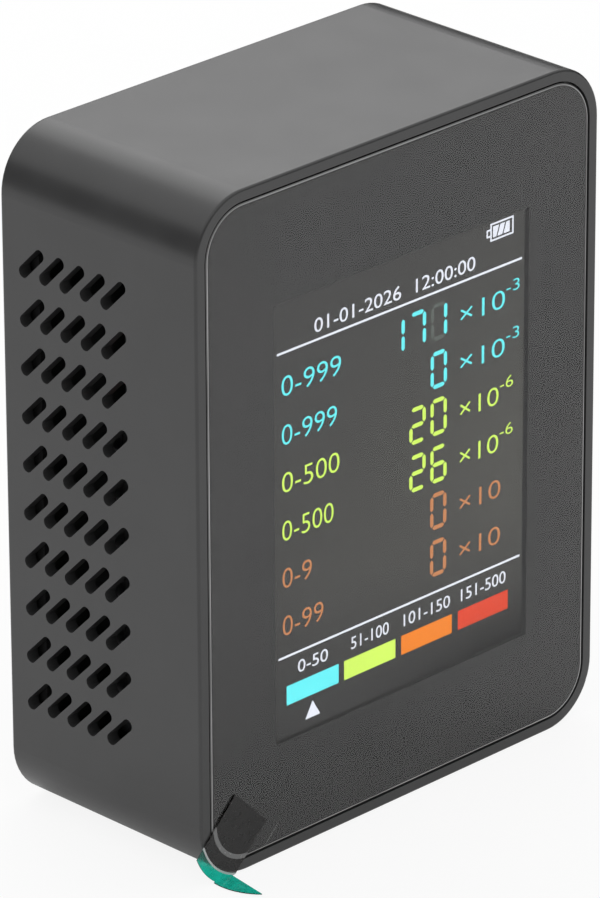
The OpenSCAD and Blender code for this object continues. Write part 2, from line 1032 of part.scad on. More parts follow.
// Four wires from the dust sensor's board up to its header
module sensor_cable() {
  top_z = dust_z + dust_h - base_in;
  start_d = dust_d + wire_out;
  end_d = board_back + header_size[2];
  color("red")
    for (i = [0 : wires - 1]) {
      x = header_at[0] + (i - (wires - 1) / 2) * wire_pitch;
      z = header_at[1];
      wire([
        [x, y_at(start_d), top_z],
        [x, y_at(start_d), top_z + wire_rise],
        [x, y_at(end_d + wire_bulge), z],
        [x, y_at(end_d), z]
      ], wire_r);
    }
}

module co2_sensor() {
  foot = co2_side + 2 * co2_foot[0];
  color("gold")
    union() {
      on_board(co2_at, [foot, foot, co2_foot[1]]);
      on_board(co2_at, [co2_side, co2_side, co2_h]);
    }
}

module co2_filter() {
  color("white")
    can_on_board(co2_at, filter_r, co2_h, co2_h + filter_t);
}

module co_sensor() {
  color("silver")
    difference() {
      union() {
        can_on_board(co_at, co_r, 0, co_h - co_neck[1]);
        can_on_board(co_at, co_r - co_neck[0], 0, co_h);
      }
      can_on_board(co_at, co_hole_r, co_h - sensor_dip, co_h + cut);
    }
}

module formaldehyde_sensor() {
  block = [formaldehyde_side, formaldehyde_side, formaldehyde_h - formaldehyde_cap[1]];
  color("whitesmoke")
    difference() {
      union() {
        on_board(formaldehyde_at, block);
        can_on_board(formaldehyde_at, formaldehyde_side / 2 - formaldehyde_cap[0], 0, formaldehyde_h);
      }
      can_on_board(formaldehyde_at, formaldehyde_hole_r, formaldehyde_h - sensor_dip, formaldehyde_h + cut);
    }
}

module tvoc_sensor() {
  rim = 0.7;
  color("silver")
    difference() {
      union() {
        can_on_board(tvoc_at, tvoc_r, 0, rim);
        can_on_board(tvoc_at, tvoc_r - rim, 0, tvoc_h);
      }
      can_on_board(tvoc_at, tvoc_r - 2 * rim, tvoc_h - sensor_dip, tvoc_h + cut);
    }
}

module battery() {
  top_z = battery_at[1] + battery_h / 2;
  color("slategray")
    union() {
      translate([battery_at[0], y_at(battery_d + battery_t / 2), top_z - battery_h])
        linear_extrude(battery_h)
          round_rect(battery_w, battery_t, battery_r);
      translate([battery_at[0], y_at(battery_d + battery_t / 2), top_z])
        linear_extrude(seal_h)
          square([battery_w - 2 * battery_r, seal_t], center = true);
    }
}

module battery_tape() {
  tape_in = 4;
  color("white")
    between(cover_front - battery_tape_t, cover_front)
      translate(battery_at)
        square([battery_w - 2 * tape_in, battery_h - 2 * tape_in], center = true);
}

module battery_header() {
  pocket = [plug_size[0] + 2 * hole_clear, plug_size[1] + 2 * hole_clear];
  outer = [pocket[0] + 2 * plug_lip, pocket[1] + 2 * plug_lip];
  color("ivory")
    difference() {
      on_board(plug_at, [outer[0], outer[1], header_floor + plug_sink]);
      on_board(plug_at, [pocket[0], pocket[1], plug_sink + cut], header_floor);
    }
}

module battery_plug() {
  color("ivory")
    on_board(plug_at, plug_size, header_floor);
}

// A lead from the battery's seal over to its plug: side is -1 or 1
module battery_lead(side) {
  seal_top = battery_at[1] + battery_h / 2 + seal_h;
  x0 = battery_at[0] + battery_w / 2 - lead_in + side * lead_gap / 2;
  x1 = plug_at[0];
  y0 = y_at(battery_d + battery_t / 2);
  y1 = y_at(plug_d + plug_size[2]);
  z1 = plug_at[1] - side * lead_gap / 2;
  wire([
    [x0, y0, seal_top],
    [x0, y0, seal_top + lead_rise - 2 * side * lead_gap],
    [x1, y1 + lead_swing, z1],
    [x1, y1, z1]
  ], lead_r);
}

module battery_lead_red() {
  color("red")
    battery_lead(-1);
}

module battery_lead_black() {
  color("black")
    battery_lead(1);
}

housing();
rear_cover();
cover_screws();
front_lens();
lens_adhesive();
screen_film();
film_pull_tab();
display_glass();
display_backlight();
display_foam();
display_ribbon();
ribbon_connector();
main_board();
board_screws();
board_chips();
usb_socket();
usb_tongue();
power_switch();
switch_plunger();
power_button();
dust_sensor_base();
dust_sensor_lid();
dust_sensor_board();
dust_sensor_tape();
laser_diode();
fan_frame();
fan_shaft();
fan_rotor();
sensor_header();
sensor_cable();
co2_sensor();
co2_filter();
co_sensor();
formaldehyde_sensor();
tvoc_sensor();
battery();
battery_tape();
battery_header();
battery_plug();
battery_lead_red();
battery_lead_black();
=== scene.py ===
import math

import bmesh
import bpy
from bpy.props import FloatProperty, FloatVectorProperty, PointerProperty, StringProperty
from mathutils import Matrix, Vector


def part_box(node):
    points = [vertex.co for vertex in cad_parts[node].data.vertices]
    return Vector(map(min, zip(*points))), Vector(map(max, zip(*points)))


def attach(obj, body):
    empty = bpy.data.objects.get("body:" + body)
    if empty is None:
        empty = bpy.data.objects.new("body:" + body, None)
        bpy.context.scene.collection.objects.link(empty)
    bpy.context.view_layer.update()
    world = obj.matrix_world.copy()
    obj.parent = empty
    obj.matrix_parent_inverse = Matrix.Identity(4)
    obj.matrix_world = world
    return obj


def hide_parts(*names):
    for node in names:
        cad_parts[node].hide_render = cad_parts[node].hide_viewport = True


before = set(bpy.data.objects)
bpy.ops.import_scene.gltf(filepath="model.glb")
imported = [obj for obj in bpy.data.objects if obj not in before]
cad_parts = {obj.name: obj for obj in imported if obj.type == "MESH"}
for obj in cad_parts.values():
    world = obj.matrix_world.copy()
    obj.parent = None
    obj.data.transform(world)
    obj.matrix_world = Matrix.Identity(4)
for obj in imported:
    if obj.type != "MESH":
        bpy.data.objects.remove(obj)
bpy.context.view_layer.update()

bl_info = {
    "name": "Air quality monitor",
    "version": (1, 0, 0),
    "blender": (4, 5, 0),
    "location": "View3D > Sidebar > Monitor",
    "description": "Dresses the packed solids of a desktop air quality monitor and sets its studio",
    "category": "Object",
}

MM = 0.001

# The picture on the display, in millimetres across and down from its upper left corner
HEADER_SPOT = (7.65, 4.6, 38.8, 6.65)
RULE_ENDS = (0.55, 48.1)
RULE_DOWNS = (7.7, 52.7)
RULE_THICK = 0.32
LABEL_LEFT = 1.4
LABEL_TALL = 2.9
DIGIT_RIGHT = 33.3
DIGIT_WIDE = 3.2
DIGIT_TALL = 5.5
DIGIT_PITCH = 4.15
DIGIT_RISE = 0.5
STROKE = 0.62
STROKE_GAP = 0.13
UNIT_LEFT = 35.9
UNIT_TALL = 2.7
POWER_WIDE = 2.6
POWER_TALL = 1.7
POWER_RISE = 0.9
POWER_GAP = 0.3
CAPTION_DOWN = 55.9
CAPTION_TALL = 1.85
BAR_TOP = 57.2
BAR_TALL = 2.88
BAR_WIDE = 10.05
POINTER = ((7.05, 61.0), (8.5, 63.45), (5.65, 63.45))
BATTERY_BOX = (41.75, 0.85, 46.35, 3.5)
BATTERY_NUB = (41.0, 1.6, 41.75, 2.8)
BATTERY_LINE = 0.26
BATTERY_BARS = 3
BATTERY_SLANT = 0.55

# How far the edges of the rows' figures are drawn in, as a share of the type size
ROW_THINNED = 0.01

# The glow behind the picture: its fade at the foot, and how dim it is at the head and left
GLOW_FOOT = 20 * MM
GLOW_DIM = 0.35
# The haze fades to the lower right: between these distances from the picture's middle and its foot
HAZE_ACROSS = (-8 * MM, 16 * MM)
HAZE_UP = (10 * MM, 1 * MM)

# Painted highlights on the pull tab, in bands where it bends at the lens's edge and at the case's
# edge
BEND_HIGHLIGHT_WHITE = (0.6, 0.6, 0.6)
LENS_HIGHLIGHT_INSETS = 1.5
LENS_HIGHLIGHT_SHARE = 0.25
CASE_HIGHLIGHT_WIDE = 0.3 * MM
CASE_HIGHLIGHT_SHARE = 0.7

# Steps in a rounded corner, and the angle from which an edge stays sharp
CORNER_STEPS = 16
SMOOTH_ANGLE = math.radians(40)

# The stage: width of the camera's film, number of cards, lumps and tones of the matt greys
FILM_WIDTH = 36
CARD_COUNT = 64
STAGE_MOTTLE = 0.02
FLOOR_TONES = (0.86, 0.9)
CARD_TONES = (0.018, 0.022)

INKS = ("white", "cyan", "lime", "amber", "orange", "red", "ghost")

# Each row: ink, middle, label and its right edge, reading, factor, power, right edge of these two
ROWS = (
    ("cyan", 12.65, "0-999", 12.7, "171", "×10", "-3", 47.65),
    ("cyan", 19.78, "0-999", 11.9, "0", "×10", "-3", 47.65),
    ("lime", 26.8, "0-500", 12.35, "20", "×10", "-6", 46.5),
    ("lime", 33.92, "0-500", 11.2, "26", "×10", "-6", 46.5),
    ("amber", 40.95, "0-9", 7.0, "0", "×10", "", 44.1),
    ("amber", 48.05, "0-99", 9.2, "0", "×10", "", 44.1),
)

# Each bar of the scale: ink, left edge, caption, middle of the caption and its width
SCALE = (
    ("cyan", 2.07, "0-50", 7.15, 5.8),
    ("lime", 13.2, "51-100", 18.25, 7.4),
    ("orange", 24.42, "101-150", 29.5, 9.2),
    ("red", 35.72, "151-500", 40.8, 9.0),
)

# Strokes of a seven-stroke figure, by name: ends in shares of the figure's width and height
STROKES = {
    "a": ((0, 0), (1, 0)),
    "b": ((1, 0), (1, 0.5)),
    "c": ((1, 0.5), (1, 1)),
    "d": ((0, 1), (1, 1)),
    "e": ((0, 0.5), (0, 1)),
    "f": ((0, 0), (0, 0.5)),
    "g": ((0, 0.5), (1, 0.5)),
}
FIGURES = {"0": "abcdef", "1": "bc", "2": "abdeg", "6": "acdefg", "7": "abc"}
GHOST = "adef"


def size_prop(name, description, default):
    """A length that the user can change."""
    return FloatProperty(name=name, description=description, subtype="DISTANCE", default=default)


def angle_prop(name, description, default):
    """An angle that the user can change, given in degrees."""
    turn = math.radians(default)
    return FloatProperty(name=name, description=description, subtype="ANGLE", default=turn)


def share_prop(name, description, default):
    """A part of a whole that the user can change."""
    return FloatProperty(
        name=name,
        description=description,
        subtype="FACTOR",
        min=0,
        max=1,
        default=default,
    )


def place_prop(name, description, default):
    """A point that the user can move."""
    return FloatVectorProperty(
        name=name,
        description=description,
        subtype="XYZ",
        size=3,
        default=default,
    )


def colour_prop(name, description, default):
    """A colour that the user can change."""
    return FloatVectorProperty(
        name=name,
        description=description,
        subtype="COLOR",
        size=3,
        min=0,
        max=1,
        default=default,
    )


class MonitorCaseLook(bpy.types.PropertyGroup):
    """Moulded case"""

    plastic: colour_prop("Plastic", "Colour of the moulded plastic", (0.038, 0.038, 0.0385))
    roughness: share_prop("Roughness", "Roughness of the moulded plastic", 0.32)
    grain: size_prop("Grain", "Width of the spark grain in the mould", 0.16 * MM)
    dust_spread: size_prop("Dust spread", "Distance between specks of dust", 3.2 * MM)


class MonitorLensLook(bpy.types.PropertyGroup):
    """Lens and film"""

    ink: colour_prop("Border ink", "Colour of the printed border", (0.004, 0.004, 0.004))
    corner_radius: size_prop("Corner radius", "Radius of the lens's corners", 6.8 * MM)
    bevel: size_prop("Edge bevel", "Width of the ground bevel along the lens's edge", 0.13 * MM)
    # The margin is a flat band on the front face; its pale matt colour is a painted highlight of
    # the lens's edge
    margin: size_prop("Edge margin", "Width of the clear margin inside the bevel", 0.13 * MM)
    edge: colour_prop("Ground edge", "Colour of the lens's ground bevel", (0.13, 0.13, 0.13))
    margin_highlight: colour_prop("Margin light", "Colour of the clear margin", (0.33, 0.33, 0.33))
    window: size_prop("Window thickness", "Thickness of the smoked window", 0.3 * MM)
    window_left: size_prop("Window left", "How far the window passes the picture", 0.9 * MM)
    flare: size_prop("Window flare", "How much wider the window is at the back", 1.2 * MM)
    smoke: share_prop("Smoke", "Share of the picture's light that the window keeps back", 0.5)
    case_radius: size_prop("Case radius", "Radius of the case, where the tab is creased", 8.8 * MM)
    film_lift: size_prop("Film lift", "Air under the film", 0.02 * MM)
    film_haze: share_prop("Film haze", "How much the film veils what lies under it", 0.012)
    tab: colour_prop("Pull tab", "Colour of light through the pull tab", (0.012, 0.44, 0.325))
    tab_glue: colour_prop("Tab glue", "Colour of light through its glued end", (0.07, 0.062, 0.06))


class MonitorPictureLook(bpy.types.PropertyGroup):
    """Lit picture"""

    width: size_prop("Width", "Width of the picture", 48.6 * MM)
    height: size_prop("Height", "Height of the picture", 64.8 * MM)
    rise: size_prop("Rise", "Height of the picture's middle over the display's", 2.7 * MM)
    thick: size_prop("Thickness", "Thickness of the lit figures", 0.015 * MM)
    lift: size_prop("Lift", "How far refraction lifts the picture off the display", 0.49 * MM)
    glow: colour_prop("Glow", "Light that leaks through the dark part", (0.034, 0.0335, 0.0265))
    haze: colour_prop("Haze", "Grey light under that glow", (0.0245, 0.0245, 0.0245))
    white: colour_prop("White", "Colour of the top line, rules and captions", (0.84, 0.87, 0.97))
    cyan: colour_prop("Cyan", "Colour of the first two rows and the first bar", (0.13, 0.9, 0.95))
    lime: colour_prop("Lime", "Colour of the next rows and the second bar", (0.66, 0.955, 0.118))
    amber: colour_prop("Amber", "Colour of the last two rows", (0.55, 0.215, 0.075))
    orange: colour_prop("Orange", "Colour of the third bar", (0.88, 0.222, 0))
    red: colour_prop("Red", "Colour of the last bar", (0.71, 0.046, 0.007))
    ghost: colour_prop("Ghost", "Colour of strokes that are fading out", (0.088, 0.103, 0.092))
    header: StringProperty(
        name="Header",
        description="Figures in the picture's top line",
        default="01-01-2026  12:00:00",
    )


class MonitorStageLook(bpy.types.PropertyGroup):
    """Stage"""

    azimuth: angle_prop("Azimuth", "Angle of the view towards the left side", 44.98)
    elevation: angle_prop("Elevation", "Height of the view over the floor", 23.975)
    roll: angle_prop("Roll", "Tilt of the camera", -0.25)
    aim: place_prop("Aim", "Point in the middle of the view", (0, 0.79 * MM, 47.11 * MM))
    distance: size_prop("Distance", "Distance from the camera to its aim", 1.02762)
    focal_length: FloatProperty(
        name="Focal length",
        description="Focal length on a film 36 mm long",
        unit="CAMERA",
        default=297.86,
    )
    floor_size: size_prop("Floor", "Width of the floor", 40)
    floor_white: share_prop("Floor white", "Part of the floor that stays white in shadow", 0.88)
    floor_mirrored: share_prop("Floor mirrored", "Share of that white in reflections", 0.3)
    sky: FloatProperty(name="Sky", description="Strength of the even light", default=0.95)
    softbox_power: FloatProperty(
        name="Softbox",
        description="Power of the softbox behind and above",
        subtype="POWER",
        default=6.0,
    )
    softbox_size: size_prop("Softbox size", "Width of the softbox", 1.3)
    softbox_place: place_prop("Softbox place", "Middle of the softbox", (0.75, 1.0, 1.15))
    cards_radius: size_prop("Cards", "Distance of the dark cards from the middle", 0.7)
    cards_height: size_prop("Cards height", "Height of the dark cards", 0.42)
    cards_drop: share_prop("Cards drop", "Share of that height lost on the softbox's side", 0.33)


class Wire:
    """A shader's output that takes Python's arithmetic, with one Math node for each sign."""

    def __init__(self, paint, output):
        self.paint = paint
        self.output = output

    def maths(self, operation, first, second=0.0):
        """One Math node on two wires or numbers."""
        return self.paint.node("ShaderNodeMath", {"operation": operation}, {0: first, 1: second})

    def __add__(self, other):
        return self.maths("ADD", self, other)

    def __radd__(self, other):
        return self.maths("ADD", other, self)

    def __sub__(self, other):
        return self.maths("SUBTRACT", self, other)

    def __mul__(self, other):
        return self.maths("MULTIPLY", self, other)

    def __lt__(self, other):
        return self.maths("LESS_THAN", self, other)

    def __gt__(self, other):
        return self.maths("GREATER_THAN", self, other)

    def __abs__(self):
        return self.maths("ABSOLUTE", self)


class Paint:
    """The nodes of one material, floor or sky."""

    def __init__(self, owner):
        owner.use_nodes = True
        self.owner = owner
        self.tree = owner.node_tree

    def node(self, kind, settings=None, inputs=None, output=0):
        """Adds a node, sets it up, then fills or links its sockets, and gives one output."""
        made = self.tree.nodes.new(kind)
        for key, value in (settings or {}).items():
            setattr(made, key, value)
        for key, value in (inputs or {}).items():
            self.feed(made.inputs[key], value)
        return Wire(self, made.outputs[output]) if made.outputs else None

    def feed(self, socket, value):
        """Links a wire to a socket, or sets the socket's own value."""
        if isinstance(value, Wire):
            self.tree.links.new(value.output, socket)
        else:
            socket.default_value = value

    def find(self, kind):
        """The first node of a kind."""
        return next(node for node in self.tree.nodes if node.type == kind)

    def surface(self, inputs):
        """Fills sockets of the material's own shader, and gives the material."""
        shader = self.find("BSDF_PRINCIPLED")
        for key, value in inputs.items():
            self.feed(shader.inputs[key], value)
        return self.owner

    def cover(self, share, coat):
        """Lays a share of another shader over the material's own, and gives the material."""
        under = Wire(self, self.find("BSDF_PRINCIPLED").outputs[0])
        both = self.node("ShaderNodeMixShader", inputs={0: share, 1: under, 2: coat})
        self.feed(self.find("OUTPUT_MATERIAL").inputs["Surface"], both)
        return self.owner

    def end(self, kind, surface):
        """Ends the nodes in a material's or a world's output."""
        self.node(kind, inputs={"Surface": surface})

    def place(self, stretch=(1, 1, 1)):
        """Place on the piece, in metres of the shared frame, stretched along its axes."""
        spot = self.node("ShaderNodeTexCoord", output="Object")
        if stretch == (1, 1, 1):
            return spot
        sockets = {"Vector": spot, "Scale": stretch}
        return self.node("ShaderNodeMapping", {"vector_type": "POINT"}, sockets)

    def axis(self, name):
        """One coordinate of the place on the piece."""
        return self.node("ShaderNodeSeparateXYZ", inputs={"Vector": self.place()}, output=name)

    def clouds(self, size, detail=2.0, stretch=(1, 1, 1)):
        """Soft noise whose lumps have this size, from 0 to 1."""
        sockets = {"Vector": self.place(stretch), "Scale": 1 / size, "Detail": detail}
        return self.node("ShaderNodeTexNoise", inputs=sockets)

    def cells(self, size, output="Distance", metric="EUCLIDEAN"):
        """Scattered points this far apart: the distance to the nearest, in cells, or its colour."""
        sockets = {"Vector": self.place(), "Scale": 1 / size}
        return self.node("ShaderNodeTexVoronoi", {"distance": metric}, sockets, output)

    def ramp(self, value, low, high, to_low=0.0, to_high=1.0):
        """Maps a span of values to another, without passing its ends."""
        sockets = {"Value": value, 1: low, 2: high, 3: to_low, 4: to_high}
        return self.node("ShaderNodeMapRange", {"clamp": True}, sockets)

    def mix(self, factor, first, second):
        """Mixes two colours."""
        sockets = {0: factor, 6: opaque(first), 7: opaque(second)}
        return self.node("ShaderNodeMix", {"data_type": "RGBA"}, sockets, 2)

    def bump(self, height, strength, distance):
        """Normals for a relief this deep."""
        sockets = {"Height": height, "Strength": strength, "Distance": distance}
        return self.node("ShaderNodeBump", inputs=sockets)

    def specks(self, spread, radius, share):
        """Dots of a radius, scattered this far apart, on a share of the places."""
        tint = self.node("ShaderNodeSeparateColor", inputs={0: self.cells(spread, "Color")})
        edge = radius / spread
        return self.ramp(self.cells(spread), edge, 0.4 * edge) * (tint < share)

    def hairs(self, size, width, cover):
        """Fine wandering hairlines, on the part of the surface that clouds cover."""
        line = abs(self.clouds(size, 1.0) - 0.5)
        return self.ramp(line, width, 0.3 * width) * (self.clouds(2.3 * size, 0.0) > cover)


def opaque(colour):
    """A colour with full alpha, or a wire as it is."""
    if isinstance(colour, Wire):
        return colour
    return (colour[0], colour[1], colour[2], 1.0)


def shaded(colour, factor):
    """A colour made darker or lighter."""
    return tuple(channel * factor for channel in colour[:3])


def new_paint(name):
    """Paint for a new material."""
    return Paint(bpy.data.materials.new(name))


def moulded_plastic(name, colour, roughness, grain, dust_spread):
    """Black moulded plastic with spark grain, faint mottling and a little dust."""
    paint = new_paint(name)
    mottle = paint.clouds(9 * MM, 4.0)
    dust = paint.specks(dust_spread, 0.07 * MM, 0.45)
    body = paint.mix(mottle, shaded(colour, 0.82), shaded(colour, 1.18))
    relief = paint.clouds(grain, 3.0)
    return paint.surface({
        "Base Color": paint.mix(dust * 0.35, body, (0.3, 0.3, 0.3)),
        "Roughness": roughness + (mottle - 0.5) * 0.12 + (relief - 0.5) * 0.1,
        "Normal": paint.bump(relief, 0.16, 0.06 * MM),
        "IOR": 1.5,
    })


def smeared(paint):
    """Roughness of polished acrylic, faintly smeared."""
    return paint.ramp(paint.clouds(14 * MM, 3.0, (1, 1, 0.5)), 0.45, 0.75, 0.012, 0.035)


def backed_lens(name, colour):
    """Polished acrylic over a printed border."""
    paint = new_paint(name)
    grain = paint.clouds(0.12 * MM, 2.0)
    return paint.surface({
        "Base Color": paint.mix(grain, shaded(colour, 0.7), shaded(colour, 1.3)),
        "Roughness": smeared(paint),
        "IOR": 1.555,
    })


def smoked_window(name, smoke):
    """Polished smoked acrylic that lets part of the light through."""
    paint = new_paint(name)
    grain = paint.clouds(0.12 * MM)
    return paint.surface({
        "Base Color": paint.mix(grain, (0.001, 0.001, 0.001), (0.003, 0.003, 0.003)),
        "Roughness": smeared(paint),
        "IOR": 1.605,
        "Specular IOR Level": 0.52,
        "Alpha": smoke,
    })


def unseen(name):
    """Faces that light goes straight through, at the back of a window tinted at its front."""
    return new_paint(name).surface({"Alpha": 0.0})


def ground_edge(name, colour):
    """Ground edge of acrylic, matt, paler in places. The lens's front margin wears it too, as a
    painted highlight.
    """
    paint = new_paint(name)
    grain = paint.clouds(0.2 * MM, 3.0)
    stretches = paint.ramp(paint.clouds(22 * MM), 0.35, 0.65)
    return paint.surface({
        "Base Color": paint.mix(stretches, shaded(colour, 0.7), shaded(colour, 1.3)),
        "Roughness": paint.ramp(grain, 0.3, 0.7, 0.45, 0.6),
    })


def dark_panel(name, look, middle, strength):
    """The dark part of the picture: a grey haze, and a warm glow that fades at its edges."""
    paint = new_paint(name)
    foot = middle.z - look.height / 2
    head = middle.z + look.height / 2
    height = paint.axis("Z")
    half = look.width / 2
    fade = paint.ramp(height, foot, foot + GLOW_FOOT) * paint.ramp(height, head, middle.z, GLOW_DIM)
    side = paint.ramp(paint.axis("X"), middle.x - half, middle.x + half, GLOW_DIM)
    uneven = fade * side * paint.ramp(paint.clouds(22 * MM), 0.2, 0.8, 0.85, 1.1)
    right = paint.ramp(paint.axis("X"), *(middle.x + across for across in HAZE_ACROSS))
    shade = right * paint.ramp(height, *(foot + up for up in HAZE_UP))
    grey = paint.mix(shade, look.haze, (0, 0, 0))
    lit = [warm + cool for warm, cool in zip(look.glow, look.haze)]
    grain = paint.clouds(0.3 * MM)
    return paint.surface({
        "Base Color": paint.mix(grain, (0.003, 0.003, 0.0035), (0.006, 0.006, 0.006)),
        "Roughness": 0.5,
        "Specular IOR Level": 0.05,
        "Emission Color": paint.mix(uneven, grey, lit),
        "Emission Strength": strength,
    })


def lit_ink(name, colour, strength):
    """Lit dots of one colour, a little uneven over the backlight."""
    paint = new_paint(name)
    uneven = paint.clouds(6 * MM, 1.0)
    return paint.surface({
        "Base Color": opaque((0.01, 0.01, 0.01)),
        "Roughness": 0.5,
        "Specular IOR Level": 0.05,
        "Emission Color": paint.mix(uneven, shaded(colour, 0.93), shaded(colour, 1.07)),
        "Emission Strength": strength,
    })


def clear_film(name, haze):
    """Thin film with a slight veil, dust and hairlines."""
    paint = new_paint(name)
    dust = paint.specks(5 * MM, 0.09 * MM, 0.5)
    hairs = paint.hairs(60 * MM, 0.0006, 0.55)
    veil = paint.ramp(paint.clouds(40 * MM, 2.0), 0.3, 0.7, 0.8 * haze, 1.2 * haze)
    return paint.surface({
        "Base Color": opaque((0.8, 0.8, 0.8)),
        "Roughness": paint.ramp(paint.clouds(4 * MM), 0.3, 0.7, 0.15, 0.25),
        "Alpha": veil + dust * 0.35 + hairs * 0.12,
    })


def tinted_film(name, colour, glued, corner, highlight_bands):
    """Translucent coloured plastic with bands of painted highlight about a corner, glued within the
    last of them.
    """
    paint = new_paint(name)
    blotches = paint.clouds(0.6 * MM, 3.0)
    across = paint.axis("X") - corner.x
    up = paint.axis("Z") - corner.z
    reach = across * across + up * up
    white = 0.0
    # Each band lays a share of white over the film: a painted highlight
    for inner, outer, share in highlight_bands:
        white = white + (reach > inner * inner) * (reach < outer * outer) * share
    tint = paint.mix(reach < highlight_bands[-1][0] * highlight_bands[-1][0], colour, glued)
    paint.surface({
        "Base Color": paint.mix(paint.ramp(blotches, 0.35, 0.65, 0.0, 0.14), tint, (0, 0, 0)),
        "Roughness": paint.ramp(blotches, 0.3, 0.7, 0.1, 0.3),
        "Transmission Weight": 1.0,
        "IOR": 1.46,
        "Normal": paint.bump(blotches, 0.2, 0.05 * MM),
    })
    # White diffuse over the bands: painted highlights where the tab bends
    highlight_coat = paint.node("ShaderNodeBsdfDiffuse", inputs={"Color": opaque(BEND_HIGHLIGHT_WHITE)})
    return paint.cover(white, highlight_coat)


def nylon(name, colour):
    """Pale moulded nylon, with a waxy unevenness."""
    paint = new_paint(name)
    mottle = paint.clouds(1.5 * MM, 3.0)
    return paint.surface({
        "Base Color": paint.mix(mottle, shaded(colour, 0.9), colour),
        "Roughness": paint.ramp(mottle, 0.3, 0.7, 0.4, 0.55),
        "Normal": paint.bump(paint.clouds(0.1 * MM), 0.1, 0.03 * MM),
    })


def foam(name, colour):
    """Closed cell foam, with open pores on its cut faces."""
    paint = new_paint(name)
    pores = paint.cells(0.35 * MM)
    return paint.surface({
        "Base Color": paint.mix(pores, shaded(colour, 0.5), colour),
        "Roughness": 0.9,
        "Normal": paint.bump(pores, 0.5, 0.12 * MM),
    })


def ribbon(name):
    """Amber ribbon with fine copper tracks."""
    paint = new_paint(name)
    settings = {"wave_type": "BANDS", "bands_direction": "X"}
    sockets = {"Vector": paint.place(), "Scale": 1 / (3 * MM)}
    tracks = paint.node("ShaderNodeTexWave", settings, sockets, 1)
    copper = paint.ramp(tracks, 0.45, 0.55)
    return paint.surface({
        "Base Color": paint.mix(copper, (0.5, 0.22, 0.03), (0.62, 0.3, 0.1)),
        "Roughness": paint.ramp(copper, 0, 1, 0.45, 0.3),
        "Normal": paint.bump(copper, 0.2, 0.03 * MM),
    })


def circuit_board(name):
    """Green solder mask over square copper tracks, with plated holes."""
    paint = new_paint(name)
    blocks = paint.cells(2.2 * MM, metric="CHEBYCHEV")
    tracks = paint.ramp(abs(blocks - 0.42), 0.07, 0.05)
    holes = paint.specks(3.1 * MM, 0.3 * MM, 0.4)
    mask = paint.mix(tracks, (0.008, 0.05, 0.022), (0.02, 0.13, 0.05))
    return paint.surface({
        "Base Color": paint.mix(holes, mask, (0.7, 0.5, 0.2)),
        "Metallic": holes,
        "Roughness": paint.ramp(paint.clouds(1 * MM), 0.3, 0.7, 0.28, 0.4),
        "Normal": paint.bump(tracks + holes, 0.3, 0.04 * MM),
    })


def black_resin(name):
    """Filled black resin of chips and small mouldings."""
    paint = new_paint(name)
    grain = paint.clouds(0.15 * MM, 3.0)
    return paint.surface({
        "Base Color": paint.mix(grain, (0.012, 0.012, 0.012), (0.03, 0.03, 0.031)),
        "Roughness": paint.ramp(grain, 0.3, 0.7, 0.5, 0.65),
        "Normal": paint.bump(grain, 0.25, 0.04 * MM),
    })


def drawn_metal(name, colour, roughness):
    """Pressed or turned metal with drawing lines and a few tarnished spots."""
    paint = new_paint(name)
    lines = paint.clouds(0.25 * MM, 3.0, (1, 1, 0.06))
    tarnish = paint.clouds(3 * MM, 3.0)
    return paint.surface({
        "Base Color": paint.mix(paint.ramp(tarnish, 0.45, 0.75), colour, shaded(colour, 0.8)),
        "Metallic": 1.0,
        "Roughness": roughness + (lines - 0.5) * 0.2,
        "Normal": paint.bump(lines, 0.08, 0.02 * MM),
    })


def pouch_foil(name):
    """Silver foil of a pouch cell, slightly crumpled."""
    paint = new_paint(name)
    folds = paint.clouds(5 * MM, 4.0)
    return paint.surface({
        "Base Color": paint.mix(folds, (0.55, 0.56, 0.58), (0.7, 0.71, 0.73)),
        "Metallic": 0.85,
        "Roughness": paint.ramp(folds, 0.3, 0.7, 0.3, 0.48),
        "Normal": paint.bump(folds, 0.3, 0.25 * MM),
    })


def wire_skin(name, colour):
    """Soft plastic skin of a wire."""
    paint = new_paint(name)
    smooth = paint.clouds(0.6 * MM, 2.0)
    return paint.surface({
        "Base Color": paint.mix(smooth, shaded(colour, 0.85), shaded(colour, 1.1)),
        "Roughness": paint.ramp(smooth, 0.3, 0.7, 0.35, 0.48),
        "Normal": paint.bump(smooth, 0.1, 0.05 * MM),
    })


def dress(material, *nodes):
    """Gives CAD nodes their finish."""
    for name in nodes:
        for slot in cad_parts[name].material_slots:
            slot.material = material


def mesh_piece(name, bm, material, body):
    """Turns a finished bmesh into a piece that rides on a body."""
    bmesh.ops.remove_doubles(bm, verts=bm.verts, dist=1e-7)
    bmesh.ops.recalc_face_normals(bm, faces=bm.faces)
    mesh = bpy.data.meshes.new(name)
    bm.to_mesh(mesh)
    bm.free()
    mesh.materials.append(material)
    piece = bpy.data.objects.new(name, mesh)
    bpy.context.scene.collection.objects.link(piece)
    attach(piece, body)
    return piece


def smooth_copy(node, material, body):
    """A merged and smoothly shaded copy of a CAD node, which stands for it."""
    bm = bmesh.new()
    bm.from_mesh(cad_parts[node].data)
    bmesh.ops.remove_doubles(bm, verts=bm.verts, dist=1e-6)
    for face in bm.faces:
        face.smooth = True
    piece = mesh_piece("smooth_" + node, bm, material, body)
    piece.data.set_sharp_from_angle(angle=SMOOTH_ANGLE)
    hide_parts(node)
    return piece


